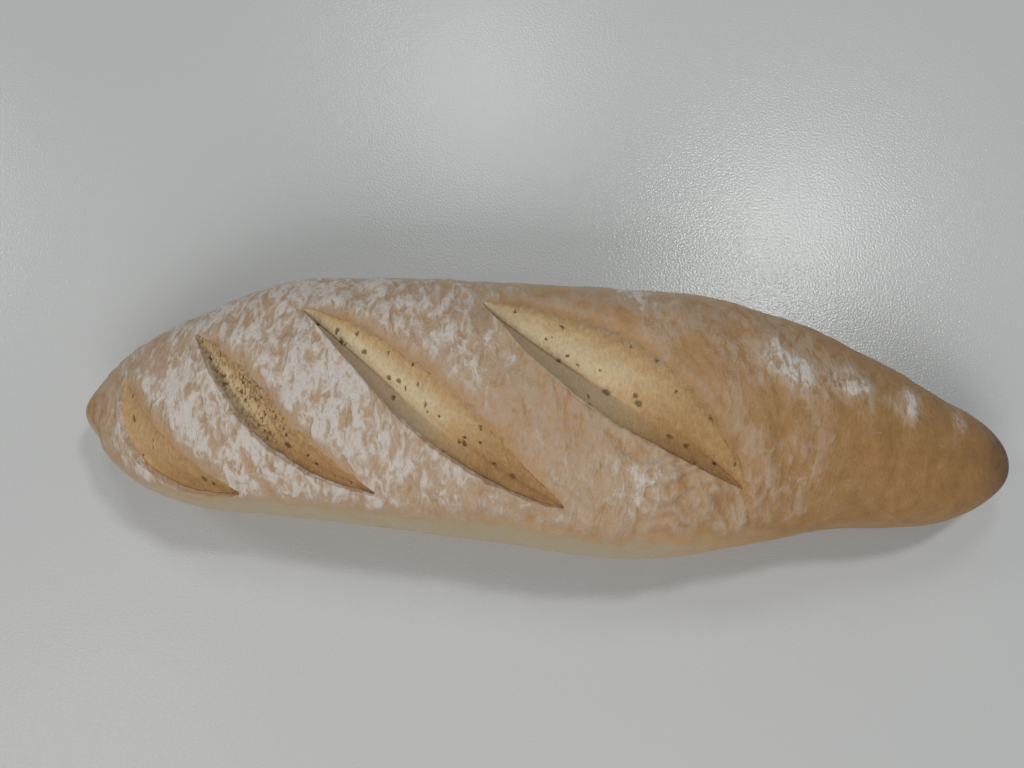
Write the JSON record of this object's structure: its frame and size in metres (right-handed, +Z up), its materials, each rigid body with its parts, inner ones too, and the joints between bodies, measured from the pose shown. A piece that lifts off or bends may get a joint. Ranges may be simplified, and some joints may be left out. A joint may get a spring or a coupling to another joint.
{
  "type": "baguette",
  "caption": "Short floured sourdough baguette with slanting scores, torn golden blooms, raised crust ears and a flat baked base to rest on.",
  "frame": {"origin": "on the surface the loaf rests on, under the middle of its bounding box", "axes": "+X along the loaf, from the small knob at its tail end to the bare, unscored end; +Z up, away from the flat base; the scores start on the +Y side and run down towards +X and -Y"},
  "size_m": [0.306, 0.0874, 0.0589],
  "materials": {
    "floured_crust": "matte",
    "base_crust": "matte",
    "crumb": "matte",
    "baked_bloom": "matte",
    "ear_crust": "matte"
  },
  "bodies": {
    "root": {"upper_crust": "floured_crust", "sole_crust": "base_crust", "crumb_core": "crumb", "grigne_1": "baked_bloom", "grigne_2": "baked_bloom", "grigne_3": "baked_bloom", "grigne_4": "baked_bloom", "ear_1": "ear_crust", "ear_2": "ear_crust", "ear_3": "ear_crust", "ear_4": "ear_crust"}
  },
  "joints": []
}
